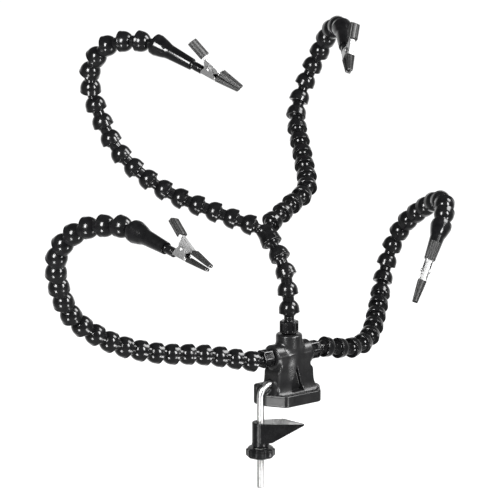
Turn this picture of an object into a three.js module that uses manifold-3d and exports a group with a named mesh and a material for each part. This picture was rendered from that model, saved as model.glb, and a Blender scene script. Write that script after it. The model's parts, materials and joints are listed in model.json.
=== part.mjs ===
// Helping hands clamp: a table-clamp base that carries four arms of ball-and-socket hose links, each with
// an alligator clip on its end.
//
// Units are millimetres and +Z is up. The origin is on the underside of the foot, on the hub's axis.
// +X runs along the two side ports, away from the clamp rod.

import * as THREE from 'three';
import { mergeVertices } from 'three/addons/utils/BufferGeometryUtils.js';
import Module from 'manifold-3d';

const wasm = await Module();
wasm.setup();

const X = new THREE.Vector3(1, 0, 0);
const Y = new THREE.Vector3(0, 1, 0);
const Z = new THREE.Vector3(0, 0, 1);
const QUARTER = Math.PI / 2;

// ---------------------------------------------------------------- driving dimensions

const GAP = 0.3; // clearance between neighbouring pieces

// hose links, measured along the link from the centre of its own socket
const PITCH = 16.4; // socket centre to ball centre
const LINK_R = 9.2; // widest radius
const RIM_Z = -3; // the socket's open rim
const NECK_R = 5.2;
const NECK_Z = 9.2; // the dome meets the neck
const FREE_NECK_R = 4.6; // neck under a ball that turns in a socket
const BALL_R = 6.9;
const SOCKET_R = 7.9;
const BALL_CAP = 4.5; // flat end of the ball, past its centre
const SOCKET_TOP = 148; // degrees from the rim's side at which the socket closes
const LINK_SIDES = 8;
const JOINT_SIDES = 10;
const CLEAR = 1; // how far a cutting solid runs past the surface it cuts

// base moulding
const FOOT_LENGTH = 64; // along X
const FOOT_WIDTH = 44;
const FOOT_TIP = 7; // width of the two narrow ends
const FOOT_FLAT = 38; // length of the two long sides
const FOOT_HEIGHT = 10.5;
const WELL_DEPTH = 1.5;
const WELL_INSET = 3;
const FLARE_X = 7; // the pedestal spreads this far at the foot
const FLARE_Y = 7.3;
const FLARE_HEIGHT = 10;
const WAIST_X = 20; // half-size of the pedestal
const WAIST_Y = 10.7;
const NECK_X = 17; // half-size above the shoulder
const SHOULDER_Z = 28;
const SHOULDER_HEIGHT = 5;
const HUB_R = 11.8;
const HUB_TOP = 61;
const HUB_CHAMFER = 2;
const CHEEK_X = 33; // raised cheek behind the rod
const CHEEK_Y = 8.8;
const CHEEK_HEIGHT = 18.8;
const PORT_Z = 42;
const PORT_R = 11;
const PORT_X = 20; // the ports' end faces
const REAR_BOSS_Y = 16; // closed boss where a fourth port could be
const REAR_BOSS_R = 8;
const POCKET_DEPTH = 2.5; // triangular pockets, front and back
const POCKET_WIDTH = 13.6;
const POCKET_LOW = 11;
const POCKET_TOP = 33;

// port fittings, measured from the port's end face
const SPIGOT_R = 6;
const SPIGOT_LENGTH = 8;
const NUT_START = 0.8;
const NUT_LENGTH = 10.7;
const NUT_CORNER_R = 8.7;
const FITTING_BALL = 21.4; // ball centre

// splitter
const BRANCH_START = 8;
const BRANCH_LENGTH = 16.5;
const BRANCH_ANGLE = THREE.MathUtils.degToRad(47);
const SPLITTER_TOP = 13.5;

// clamp rod, jaw and knob
const ROD_R = 3.2;
const ROD_X = -31.5;
const ROD_BEND = 11;
const ROD_PORT_Z = 18; // height of the rod's upper leg
const ROD_END_X = -8;
const ROD_BOTTOM = -76;
const JAW_TOP = -15;
const JAW_HUB_R = 7.5;
const JAW_HUB_HEIGHT = 21;
const JAW_LENGTH = 38.5;
const JAW_WING = [21, 11]; // the corner where the gripping face is widest
const JAW_DEPTH = 17.7; // from the gripping face to the underside
const JAW_ROOT_X = 10; // where the underside starts to slope
const JAW_TIP = 1.4; // height and width of the blunt tip
const JAW_HEADING = Math.atan2(-0.6, 0.8);
const WASHER_R = 7;
const WASHER_HEIGHT = 1.6;
const KNOB_R = 13;
const KNOB_HEIGHT = 8.5;
const KNOB_LOBES = 10;
const KNOB_FLUTE = 1.1;
const NUT_INSERT_R = 6;
const NUT_INSERT_HEIGHT = 6;

// nozzle and clip, measured along the nozzle from its socket centre (z) or from its end face (t)
const NOZZLE_LENGTH = 38;
const NOZZLE_SHOULDER = [6.5, 12.5]; // [radius, z] where the bell meets the long taper
const NOZZLE_END_R = 5.1;
const NOZZLE_BORE = 3.2;
const PLUG_R = 3.75;
const PLUG_DEPTH = 12; // inside the nozzle
const PLUG_LENGTH = 10.7; // outside it
const SHEET = 0.8; // clip steel
const PIVOT = [18.8, 6]; // (t, n) of the rivet
const RIVET_R = 1.2;
const RIVET_HEAD_R = 1.9;
const WIRE = 0.7; // spring wire
const HANDLE_WIDTH = 6.8;
const HANDLE_SHEET = 1.8; // the handle is folded double
const FIXED_EAR = 3.5; // outer half-width of the fixed half
const MOVING_EAR = 2.3; // outer half-width of the moving half's ears
const TONGUE = 2.7; // half-width of the tongue that sits in the plug
const TONGUE_START = 4.3;
const FLOOR = -1.4; // underside of the fixed half's floor
const FLOOR_START = 12;
const FLOOR_END = 26.5;
const JAW_SHEET = { wide: 5.8, thick: 2.4, taper: 0.6 };
const JAW_SLEEVE = { wide: 8, thick: 4.2, taper: 0.6, hole: [6.6, 3.2] };
const HANDLE_SLEEVE = { wide: 9.2, thick: 5, taper: 1 };

// ---------------------------------------------------------------- materials

function finish(color, roughness, metalness = 0) {
  return new THREE.MeshStandardMaterial({ color, roughness, metalness });
}

const HOSE = finish(0x141415, 0.22);
const MOULDING = finish(0x2c2d2f, 0.5);
const STEEL = finish(0xc9cbce, 0.28, 1);
const KNOB_PLASTIC = finish(0x161617, 0.4);
const SLEEVE_RUBBER = finish(0x2a2a2b, 0.75);

// ---------------------------------------------------------------- geometry helpers

function solidOf(geometry) {
  const bare = geometry.index ? geometry.toNonIndexed() : geometry.clone();
  bare.deleteAttribute('normal');
  bare.deleteAttribute('uv');
  const merged = mergeVertices(bare, 1e-4);
  return new wasm.Manifold(new wasm.Mesh({
    numProp: 3,
    vertProperties: merged.attributes.position.array,
    triVerts: Uint32Array.from(merged.index.array),
  }));
}

function geometryOf(solid) {
  const mesh = solid.getMesh();
  const geometry = new THREE.BufferGeometry();
  geometry.setAttribute('position', new THREE.BufferAttribute(mesh.vertProperties, 3));
  geometry.setIndex(new THREE.BufferAttribute(mesh.triVerts, 1));
  return geometry;
}

const joined = (solids) => solids.reduce((sum, solid) => sum.add(solid));

const point = (p) => new THREE.Vector3(...p);

// a frame whose z axis runs along `forward` and whose x axis leans towards `side`
function frameAt(origin, forward, side = Math.abs(forward.y) < 0.9 * forward.length() ? Y : X) {
  const z = forward.clone().normalize();
  const x = side.clone().addScaledVector(z, -side.dot(z)).normalize();
  return new THREE.Matrix4().makeBasis(x, z.clone().cross(x), z).setPosition(origin);
}

// a solid of revolution about +Z from [radius, z] pairs listed from the bottom up
function turned(profile, sides, matrix = new THREE.Matrix4()) {
  const points = profile.map(([r, z]) => new THREE.Vector2(r, z));
  return solidOf(new THREE.LatheGeometry(points, sides).rotateX(QUARTER).applyMatrix4(matrix));
}

// an outline of [x, y] corners, raised from z = low to z = high
function raised(outline, low, high) {
  const shape = new THREE.Shape(outline.map((p) => new THREE.Vector2(...p)));
  const geometry = new THREE.ExtrudeGeometry(shape, { depth: high - low, bevelEnabled: false });
  return geometry.translate(0, 0, low);
}

// an outline drawn as [x, z] and given a thickness along Y, centred on y = middle
function sideways(outline, thickness, middle = 0) {
  return raised(outline, -thickness / 2, thickness / 2).rotateX(QUARTER).translate(0, middle, 0);
}

// a block between two corners
function block(low, high) {
  const size = high.map((value, axis) => value - low[axis]);
  const centre = high.map((value, axis) => (value + low[axis]) / 2);
  return new THREE.BoxGeometry(...size).translate(...centre);
}

// points on an arc about the origin of the [radius, z] plane, angles in degrees from the -z axis
function arc(radius, from, to, steps, centreZ = 0) {
  return Array.from({ length: steps + 1 }, (_, i) => {
    const angle = THREE.MathUtils.degToRad(from + ((to - from) * i) / steps);
    return [radius * Math.sin(angle), centreZ - radius * Math.cos(angle)];
  });
}

const degreesFromBelow = (radius, z) => THREE.MathUtils.radToDeg(Math.acos(-z / radius));

function named(name, geometry, material) {
  const mesh = new THREE.Mesh(geometry, material);
  mesh.name = name;
  return mesh;
}

// ---------------------------------------------------------------- hose

// ball centres at one pitch from each other along a smooth curve through the guide points
function ballCentres(guide, linkCount) {
  const curve = new THREE.CatmullRomCurve3(guide, false, 'catmullrom', 0.5);
  const centres = [guide[0].clone()];
  const fine = 4000;
  let last = centres[0];
  for (let i = 1; i <= fine && centres.length <= linkCount; i += 1) {
    const here = curve.getPoint(i / fine);
    const reach = here.distanceTo(centres.at(-1));
    if (reach >= PITCH) {
      const back = (reach - PITCH) / here.distanceTo(last);
      centres.push(here.clone().lerp(last, back));
    }
    last = here;
  }
  return centres;
}

// the ball on top of a neck; the neck starts at `neckStart` on the axis
function ballProfile(centreZ, neckR, neckStart) {
  const neckEnd = THREE.MathUtils.radToDeg(Math.asin(neckR / BALL_R));
  return [
    [0, neckStart],
    [neckR, neckStart],
    ...arc(BALL_R, neckEnd, degreesFromBelow(BALL_R, BALL_CAP), 3, centreZ),
    [0, centreZ + BALL_CAP],
  ];
}

// a link inside a stretch: its neck stands solidly in the next link
const domeProfile = [[0, RIM_Z], [LINK_R, RIM_Z], [NECK_R, NECK_Z]];
const linkProfile = [...domeProfile, [NECK_R, PITCH], [0, PITCH]];

// the socket's inside, from the rim up to a closed top
const socketArc = arc(SOCKET_R, degreesFromBelow(SOCKET_R, RIM_Z), SOCKET_TOP, 3);
const socketProfile = [
  [0, RIM_Z - CLEAR],
  [SOCKET_R, RIM_Z - CLEAR],
  ...socketArc,
  [0, socketArc.at(-1)[1]],
];

const socketCut = (matrix) => turned(socketProfile, JOINT_SIDES, matrix);

// one rigid stretch of links, with a free socket at its start and a free ball at its end
function hoseStretch(centres, first, count) {
  const frames = Array.from({ length: count }, (_, i) => {
    const from = centres[first + i];
    return frameAt(from, centres[first + i + 1].clone().sub(from));
  });
  const links = frames.slice(1, -1).map((frame) => turned(linkProfile, LINK_SIDES, frame));
  const start = turned(linkProfile, JOINT_SIDES, frames[0]).subtract(socketCut(frames[0]));
  const end = turned([...domeProfile, [0, NECK_Z]], LINK_SIDES, frames.at(-1));
  const ball = turned(ballProfile(PITCH, FREE_NECK_R, NECK_Z - 1), JOINT_SIDES, frames.at(-1));
  return geometryOf(joined([start, ...links, end, ball]));
}

// ---------------------------------------------------------------- base and clamp

const mirrored = (half) => [...half, ...half.map(([a, b]) => [-a, b]).reverse()];

function footOutline(inset = 0) {
  const tip = [(FOOT_TIP - inset) / 2, -FOOT_LENGTH / 2 + inset];
  const flat = [FOOT_WIDTH / 2 - inset, -FOOT_FLAT / 2];
  const oneSide = [tip, flat, ...[flat, tip].map(([y, x]) => [y, -x])];
  return mirrored(oneSide).map(([y, x]) => [x, y]);
}

function rodPath() {
  const path = new THREE.CurvePath();
  const bendTop = ROD_PORT_Z - ROD_BEND;
  const low = new THREE.Vector3(ROD_X, 0, ROD_BOTTOM);
  const bendStart = new THREE.Vector3(ROD_X, 0, bendTop);
  const bendEnd = new THREE.Vector3(ROD_X + ROD_BEND, 0, ROD_PORT_Z);
  const arm = ROD_BEND * 0.5523; // a cubic with this arm follows a quarter circle
  path.add(new THREE.LineCurve3(low, bendStart));
  path.add(new THREE.CubicBezierCurve3(
    bendStart,
    bendStart.clone().addScaledVector(Z, arm),
    bendEnd.clone().addScaledVector(X, -arm),
    bendEnd,
  ));
  path.add(new THREE.LineCurve3(bendEnd, new THREE.Vector3(ROD_END_X, 0, ROD_PORT_Z)));
  return path;
}

function circle(radius, sides) {
  return Array.from({ length: sides }, (_, i) => {
    const angle = (2 * Math.PI * i) / sides;
    return [radius * Math.cos(angle), radius * Math.sin(angle)];
  });
}

function rodGeometry(radius) {
  const section = new THREE.Shape(circle(radius, 8).map((p) => new THREE.Vector2(...p)));
  return new THREE.ExtrudeGeometry(section, { steps: 24, extrudePath: rodPath(), bevelEnabled: false });
}

// the pedestal's edge from the foot up to the waist, as [half-size, z]
function flare(waist, spread) {
  const low = FOOT_HEIGHT - 2 * WELL_DEPTH + GAP;
  return [[waist + spread, low], [waist + spread / 3, low + 0.4 * FLARE_HEIGHT], [waist, low + FLARE_HEIGHT]];
}

function baseBody() {
  const foot = solidOf(raised(footOutline(), 0, FOOT_HEIGHT));
  const well = solidOf(raised(footOutline(WELL_INSET), FOOT_HEIGHT - WELL_DEPTH, FOOT_HEIGHT + 1));
  const front = mirrored([
    ...flare(WAIST_X, FLARE_X),
    [WAIST_X, SHOULDER_Z], [NECK_X, SHOULDER_Z + SHOULDER_HEIGHT], [NECK_X, PORT_Z],
  ]);
  const side = mirrored([...flare(WAIST_Y, FLARE_Y), [WAIST_Y, PORT_Z]]);
  const frontBlock = solidOf(sideways(front, FOOT_WIDTH));
  const sideBlock = solidOf(sideways(side, FOOT_LENGTH).rotateZ(QUARTER));
  const pedestal = frontBlock.intersect(sideBlock);
  const hub = turned([
    [0, POCKET_TOP], [HUB_R, POCKET_TOP], [HUB_R, HUB_TOP - HUB_CHAMFER], [HUB_R - HUB_CHAMFER, HUB_TOP],
    [0, HUB_TOP],
  ], 16);
  const portProfile = [[0, -PORT_X], [PORT_R, -PORT_X], [PORT_R, PORT_X], [0, PORT_X]];
  const ports = turned(portProfile, 16, frameAt(new THREE.Vector3(0, 0, PORT_Z), X));
  const bossProfile = [
    [0, 0], [REAR_BOSS_R, 0], [REAR_BOSS_R, REAR_BOSS_Y - HUB_CHAMFER],
    [REAR_BOSS_R - HUB_CHAMFER, REAR_BOSS_Y], [0, REAR_BOSS_Y],
  ];
  const rearBoss = turned(bossProfile, 12, frameAt(new THREE.Vector3(0, 0, PORT_Z), Y));
  const cheek = solidOf(sideways([
    [-CHEEK_X, 0], [-NECK_X, 0], [-NECK_X, CHEEK_HEIGHT], [HUB_CHAMFER - CHEEK_X, CHEEK_HEIGHT],
    [-CHEEK_X, CHEEK_HEIGHT - HUB_CHAMFER],
  ], CHEEK_Y, CHEEK_Y / 2));
  const body = joined([foot.subtract(well), pedestal, hub, ports, rearBoss, cheek]);
  const pocket = [[-POCKET_WIDTH / 2, POCKET_LOW], [POCKET_WIDTH / 2, POCKET_LOW], [0, POCKET_TOP]];
  const slot = ROD_R + 2 * GAP;
  const cuts = [
    ...[-1, 1].map((way) => solidOf(sideways(pocket, POCKET_DEPTH * 2, way * WAIST_Y))),
    solidOf(rodGeometry(slot)),
    solidOf(block([-CHEEK_X - CLEAR, -slot, -CLEAR], [ROD_X, slot, CHEEK_HEIGHT + CLEAR])),
    ...portFrames.map((frame) => turned(spigotHole, 12, frame)),
  ];
  return geometryOf(cuts.reduce((sum, cut) => sum.subtract(cut), body));
}

// each port's frame sits on its end face, z pointing out
const topFrame = frameAt(new THREE.Vector3(0, 0, HUB_TOP), Z);
const leftFrame = frameAt(new THREE.Vector3(-PORT_X, 0, PORT_Z), X.clone().negate());
const rightFrame = frameAt(new THREE.Vector3(PORT_X, 0, PORT_Z), X);
const portFrames = [topFrame, leftFrame, rightFrame];
const spigotHole = [
  [0, -SPIGOT_LENGTH - GAP], [SPIGOT_R + 2 * GAP, -SPIGOT_LENGTH - GAP],
  [SPIGOT_R + 2 * GAP, CLEAR], [0, CLEAR],
];

function portFitting(frame) {
  const stem = turned([
    [0, -SPIGOT_LENGTH], [SPIGOT_R, -SPIGOT_LENGTH], [SPIGOT_R, NUT_START], [0, NUT_START],
  ], 12);
  const nutTop = NUT_START + NUT_LENGTH;
  const nut = solidOf(raised(circle(NUT_CORNER_R, 6), GAP, nutTop));
  const ball = turned(ballProfile(FITTING_BALL, FREE_NECK_R, nutTop - 1), JOINT_SIDES);
  return geometryOf(joined([stem, nut, ball])).applyMatrix4(frame);
}

// a hub round the rod and a blade with a wide flat gripping face and a sloping underside
function clampJaw() {
  const hub = turned([
    [0, -JAW_HUB_HEIGHT], [WASHER_R, -JAW_HUB_HEIGHT], [JAW_HUB_R, -JAW_DEPTH], [JAW_HUB_R, 0], [0, 0],
  ], 16);
  const wedge = solidOf(sideways([
    [0, -JAW_DEPTH], [JAW_ROOT_X, -JAW_DEPTH], [JAW_LENGTH, -JAW_TIP], [JAW_LENGTH, 0], [0, 0],
  ], 4 * JAW_WING[1]));
  const plan = solidOf(raised([
    [0, -JAW_HUB_R], [JAW_LENGTH, -JAW_HUB_R], [JAW_LENGTH, JAW_TIP - JAW_HUB_R], JAW_WING, [0, JAW_HUB_R],
  ], -JAW_DEPTH - CLEAR, CLEAR));
  const bore = hole(ROD_R + 2 * GAP, 12, JAW_HUB_HEIGHT + CLEAR);
  return geometryOf(joined([hub, wedge.intersect(plan)]).subtract(bore));
}

// a prism that cuts a hole down to `depth` below z = 0
const hole = (radius, sides, depth) => solidOf(raised(circle(radius, sides), -depth, CLEAR));

const ring = (outer, inner, height, sides) => turned([
  [inner, 0], [outer, 0], [outer, height], [inner, height], [inner, 0],
], sides);

function knobOutline() {
  const steps = KNOB_LOBES * 4;
  return Array.from({ length: steps }, (_, i) => {
    const angle = (2 * Math.PI * i) / steps;
    const radius = KNOB_R - KNOB_FLUTE * (0.5 - 0.5 * Math.cos(KNOB_LOBES * angle));
    return [radius * Math.cos(angle), radius * Math.sin(angle)];
  });
}

function clampKnob() {
  const body = solidOf(raised(knobOutline(), -KNOB_HEIGHT, 0));
  const pocket = hole(NUT_INSERT_R + 2 * GAP, 6, NUT_INSERT_HEIGHT + GAP);
  return geometryOf(body.subtract(pocket).subtract(hole(ROD_R + 3 * GAP, 12, KNOB_HEIGHT + CLEAR)));
}

function knobNut() {
  const body = solidOf(raised(circle(NUT_INSERT_R, 6), -NUT_INSERT_HEIGHT, 0));
  return geometryOf(body.subtract(hole(ROD_R + 2 * GAP, 12, NUT_INSERT_HEIGHT + CLEAR)));
}

// ---------------------------------------------------------------- splitter

function branchDirection(way) {
  return new THREE.Vector3(way * Math.sin(BRANCH_ANGLE), 0, Math.cos(BRANCH_ANGLE));
}

function branchBall(way) {
  return branchDirection(way).multiplyScalar(BRANCH_LENGTH).addScaledVector(Z, BRANCH_START);
}

function splitter() {
  const shell = [
    [0, RIM_Z], [LINK_R + GAP, RIM_Z], [SOCKET_R, NECK_Z], [NECK_R, SPLITTER_TOP], [0, SPLITTER_TOP],
  ];
  const cup = turned(shell, JOINT_SIDES);
  const branches = [-1, 1].map((way) => {
    const frame = frameAt(new THREE.Vector3(0, 0, BRANCH_START), branchDirection(way), Y);
    return turned(ballProfile(BRANCH_LENGTH, FREE_NECK_R, CLEAR), JOINT_SIDES, frame);
  });
  return geometryOf(joined([cup, ...branches]).subtract(socketCut(new THREE.Matrix4())));
}

// ---------------------------------------------------------------- nozzle and clip
// The clip's pieces are drawn with x = t along the nozzle from its end face, y = w along the rivet and
// z = n towards the handle.

function nozzle() {
  const top = degreesFromBelow(SOCKET_R, Math.sqrt(SOCKET_R ** 2 - NOZZLE_BORE ** 2));
  const plugHole = PLUG_R + GAP;
  const shoulder = NOZZLE_LENGTH - PLUG_DEPTH - GAP;
  const profile = [
    ...arc(SOCKET_R, degreesFromBelow(SOCKET_R, RIM_Z), top, 4).reverse(),
    [LINK_R, RIM_Z], NOZZLE_SHOULDER, [NOZZLE_END_R, NOZZLE_LENGTH],
    [plugHole, NOZZLE_LENGTH], [plugHole, shoulder], [NOZZLE_BORE, shoulder],
  ];
  return geometryOf(turned([...profile, profile[0]], JOINT_SIDES));
}

// a stub with a slot in its end for the fixed half's tongue
function clipPlug() {
  const profile = [[0, -PLUG_DEPTH], [PLUG_R, -PLUG_DEPTH], [PLUG_R, PLUG_LENGTH], [0, PLUG_LENGTH]];
  const stub = turned(profile, 12, frameAt(new THREE.Vector3(), X, Z));
  const slot = solidOf(block(
    [TONGUE_START - GAP, -TONGUE - GAP, FLOOR - GAP],
    [PLUG_LENGTH + CLEAR, TONGUE + GAP, FLOOR + SHEET + GAP],
  ));
  return geometryOf(stub.subtract(slot));
}

// two plates of sheet steel, one on each side of the clip
function ears(outline, outerHalfWidth) {
  return [-1, 1].map((way) => solidOf(sideways(outline, SHEET, way * (outerHalfWidth - SHEET / 2))));
}

const pivotFrame = frameAt(new THREE.Vector3(PIVOT[0], 0, PIVOT[1]), Y);
const holeR = RIVET_R + 2 * GAP;

function rivetHole() {
  const end = FIXED_EAR + CLEAR;
  return turned([[0, -end], [holeR, -end], [holeR, end], [0, end]], 10, pivotFrame);
}

// a rectangle of [x, y] corners with its corners cut off
function bevelled(wide, thick, bevel) {
  const [x, y] = [wide / 2, thick / 2];
  const right = [[x - bevel, -y], [x, -y + bevel], [x, y - bevel], [x - bevel, y]];
  return mirrored(right).map((p) => new THREE.Vector2(...p));
}

// a bar, or a tube if it has a hole, that narrows evenly by `taper`; it runs from `start` along a line
// tilted by `tilt` in the (t, n) plane
function taperedBar({ start, tilt, length, wide, thick, taper, hole: inside }) {
  const shape = new THREE.Shape(bevelled(wide, thick, thick / 4));
  if (inside) {
    shape.holes.push(new THREE.Path(bevelled(...inside, GAP)));
  }
  const geometry = new THREE.ExtrudeGeometry(shape, { depth: length, bevelEnabled: false });
  const position = geometry.attributes.position;
  for (let i = 0; i < position.count; i += 1) {
    const scale = 1 - ((1 - taper) * position.getZ(i)) / length;
    position.setXY(i, position.getX(i) * scale, position.getY(i) * scale);
  }
  const along = new THREE.Vector3(Math.cos(tilt), 0, Math.sin(tilt));
  return geometry.applyMatrix4(frameAt(new THREE.Vector3(start[0], 0, start[1]), along, Y.clone().negate()));
}

const FIXED_JAW = { start: [27.5, 0.5], tilt: 0, length: 22 };
const MOVING_JAW = { start: [31, 7.8], tilt: THREE.MathUtils.degToRad(-9.5), length: 21 };
const HANDLE = { start: [14.8, 13.9], tilt: Math.PI - THREE.MathUtils.degToRad(27), length: 19 };
const HANDLE_GRIP = { start: [12.2, 15.2], length: 17 };
const JAW_ROOT = 1.8;
const SLEEVE_END = 0.6; // the sleeves stand past the metal by this much

// the steel starts a little before its sleeve
function jawBar(jaw) {
  const start = [jaw.start[0] - JAW_ROOT * Math.cos(jaw.tilt), jaw.start[1] - JAW_ROOT * Math.sin(jaw.tilt)];
  return solidOf(taperedBar({ ...jaw, ...JAW_SHEET, start, length: jaw.length + JAW_ROOT }));
}

const jawSleeve = (jaw) => taperedBar({ ...jaw, ...JAW_SLEEVE, length: jaw.length + SLEEVE_END });

// guide corners of the two halves' ears, as [t, n]
const FIXED_OUTLINE = [
  [FLOOR_START, FLOOR], [FLOOR_END, FLOOR], [25.8, 1.5], [23, 6], [18.8, 8.2], [15, 4.6], [FLOOR_START, 0.2],
];
const MOVING_OUTLINE = [
  [14, 14.6], [30, 8.6], [29.4, 7], [26.4, 5.8], [21.4, 3.6], [17, 3.6], [15, 9], [12.8, 13.4],
];
const MOVING_BACK = [[13.4, 14], [13.8, 15.6], [30.5, 9.2], [29.8, 7.6]];

function fixedHalf() {
  const tongue = solidOf(block([TONGUE_START, -TONGUE, FLOOR], [FLOOR_START + 2, TONGUE, FLOOR + SHEET]));
  const floor = solidOf(block([FLOOR_START, -FIXED_EAR, FLOOR], [FLOOR_END, FIXED_EAR, FLOOR + SHEET]));
  const throat = solidOf(block([FLOOR_END - 1, -TONGUE, FLOOR], [FLOOR_END + 0.7, TONGUE, -FLOOR]));
  const body = joined([tongue, floor, throat, ...ears(FIXED_OUTLINE, FIXED_EAR), jawBar(FIXED_JAW)]);
  return geometryOf(body.subtract(rivetHole()));
}

function movingHalf() {
  const back = solidOf(sideways(MOVING_BACK, MOVING_EAR * 2));
  const handle = solidOf(taperedBar({ ...HANDLE, wide: HANDLE_WIDTH, thick: HANDLE_SHEET, taper: 1 }));
  const body = joined([back, ...ears(MOVING_OUTLINE, MOVING_EAR), handle, jawBar(MOVING_JAW)]);
  return geometryOf(body.subtract(rivetHole()));
}

function handleSleeve() {
  const inside = [HANDLE_WIDTH + 2 * GAP, HANDLE_SHEET + 2 * GAP];
  return taperedBar({ ...HANDLE, ...HANDLE_SLEEVE, ...HANDLE_GRIP, hole: inside });
}

function rivet() {
  const half = FIXED_EAR + GAP;
  const outer = half + SHEET;
  const profile = [
    [0, -outer], [RIVET_HEAD_R, -outer], [RIVET_HEAD_R, -half], [RIVET_R, -half],
    [RIVET_R, half], [RIVET_HEAD_R, half], [RIVET_HEAD_R, outer], [0, outer],
  ];
  return geometryOf(turned(profile, 10, pivotFrame));
}

// the coil round the rivet and the leg that presses on the fixed half's floor
function torsionSpring() {
  const outer = holeR + WIRE;
  const half = MOVING_EAR - SHEET - GAP;
  const profile = [[holeR, -half], [outer, -half], [outer, half], [holeR, half], [holeR, -half]];
  const coil = turned(profile, 10, pivotFrame);
  const top = PIVOT[0] - outer;
  const foot = FLOOR_START + 2;
  const footHeight = FLOOR + SHEET + WIRE;
  const leg = [[top, PIVOT[1]], [top + WIRE, PIVOT[1]], [foot + WIRE, footHeight], [foot, footHeight]];
  return geometryOf(coil.add(solidOf(sideways(leg, WIRE, half - WIRE / 2))));
}

function clip(prefix, socketCentre, aim, handleSide) {
  const forward = aim.clone().sub(socketCentre);
  const assembly = new THREE.Group();
  const nozzleFrame = frameAt(socketCentre, forward, handleSide);
  const clipFrame = nozzleFrame.clone()
    .multiply(new THREE.Matrix4().makeTranslation(0, 0, NOZZLE_LENGTH))
    .multiply(new THREE.Matrix4().makeBasis(Z, Y.clone().negate(), X));
  const inNozzle = new THREE.Group();
  inNozzle.applyMatrix4(nozzleFrame);
  inNozzle.add(named(`${prefix}_nozzle`, nozzle(), HOSE));
  const inClip = new THREE.Group();
  inClip.applyMatrix4(clipFrame);
  inClip.add(
    named(`${prefix}_clip_plug`, clipPlug(), HOSE),
    named(`${prefix}_fixed_half`, fixedHalf(), STEEL),
    named(`${prefix}_moving_half`, movingHalf(), STEEL),
    named(`${prefix}_clip_rivet`, rivet(), STEEL),
    named(`${prefix}_clip_spring`, torsionSpring(), STEEL),
    named(`${prefix}_handle_sleeve`, handleSleeve(), SLEEVE_RUBBER),
    named(`${prefix}_fixed_jaw_sleeve`, jawSleeve(FIXED_JAW), SLEEVE_RUBBER),
    named(`${prefix}_moving_jaw_sleeve`, jawSleeve(MOVING_JAW), SLEEVE_RUBBER),
  );
  assembly.add(inNozzle, inClip);
  return assembly;
}

// ---------------------------------------------------------------- assembly

const group = new THREE.Group();

group.add(named('base_body', baseBody(), MOULDING));
group.add(named('clamp_rod', rodGeometry(ROD_R), STEEL));

const clamp = new THREE.Group();
clamp.position.set(ROD_X, 0, JAW_TOP);
const jaw = named('clamp_jaw', clampJaw(), KNOB_PLASTIC);
jaw.rotation.z = JAW_HEADING;
const washer = named('jaw_washer', geometryOf(ring(WASHER_R, ROD_R + 2 * GAP, WASHER_HEIGHT, 16)), STEEL);
washer.position.z = -JAW_HUB_HEIGHT - GAP - WASHER_HEIGHT;
const knobTop = washer.position.z - GAP;
const knob = named('clamp_knob', clampKnob(), KNOB_PLASTIC);
knob.position.z = knobTop;
const insert = named('knob_nut', knobNut(), STEEL);
insert.position.z = knobTop;
clamp.add(jaw, washer, knob, insert);
group.add(clamp);

group.add(named('top_port_fitting', portFitting(topFrame), HOSE));
group.add(named('left_port_fitting', portFitting(leftFrame), HOSE));
group.add(named('right_port_fitting', portFitting(rightFrame), HOSE));

const portBall = (frame) => new THREE.Vector3(0, 0, FITTING_BALL).applyMatrix4(frame);

// the stem leans back to the splitter
const STEM_GUIDE = [[0, 5, 115], [-1, 13, 129], [-1.5, 25, 140.5], [-1.5, 40, 150]];
const STEM_LINKS = 4;
const stemCentres = ballCentres([portBall(topFrame), ...STEM_GUIDE.map(point)], STEM_LINKS);
group.add(named('stem_hose', hoseStretch(stemCentres, 0, STEM_LINKS), HOSE));

const SPLITTER_AXIS = new THREE.Vector3(0, 0.71, 0.71);
const splitterFrame = frameAt(stemCentres[STEM_LINKS], SPLITTER_AXIS, X);
const splitterMesh = named('y_splitter', splitter(), HOSE);
splitterMesh.applyMatrix4(splitterFrame);
group.add(splitterMesh);

// Each arm: where it starts, guide points chosen by hand along it (the last one is the point that the
// nozzle aims at), the links in each stretch and the side that the clip's handle is on.
const ARMS = [
  {
    name: 'upper_left',
    start: branchBall(-1).applyMatrix4(splitterFrame),
    guide: [
      [-37, 59, 165], [-73, 87, 185], [-102, 112, 217], [-118, 127, 261], [-125, 123, 292],
      [-120, 102, 316], [-104, 74, 321], [-96, 60, 318], [-83, 27, 304],
    ],
    stretches: [6, 6, 6],
    handleSide: [-0.2, -0.45, 0.87],
  },
  {
    name: 'lower_left',
    start: portBall(leftFrame),
    guide: [
      [-88, 5, 54], [-137, 8, 63], [-182, 10, 79], [-222, 9, 108], [-244, -3, 149],
      [-249, -20, 177], [-242, -46, 195], [-230, -76, 200], [-226, -92, 198], [-223, -129, 191],
    ],
    stretches: [6, 6, 5, 5],
    handleSide: [0.3, -0.15, 0.95],
  },
  {
    name: 'right',
    start: portBall(rightFrame),
    guide: [
      [73, 2, 36], [103, 13, 40], [138, 43, 58], [158, 61, 76], [171, 64, 105],
      [175, 47, 132], [171, 6, 157], [159, -23, 162], [141, -42, 152], [115, -58, 129],
    ],
    stretches: [7, 7, 6],
    handleSide: [-0.45, -0.68, 0.5],
  },
  {
    name: 'upper_right',
    start: branchBall(1).applyMatrix4(splitterFrame),
    guide: [
      [39, 47, 165], [67, 61, 175], [90, 97, 197], [109, 131, 227], [125, 139, 254],
      [135, 130, 284], [133, 109, 308], [121, 79, 314], [100, 49, 302],
    ],
    stretches: [6, 6, 6],
    handleSide: [0.15, -0.45, 0.87],
  },
];

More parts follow.
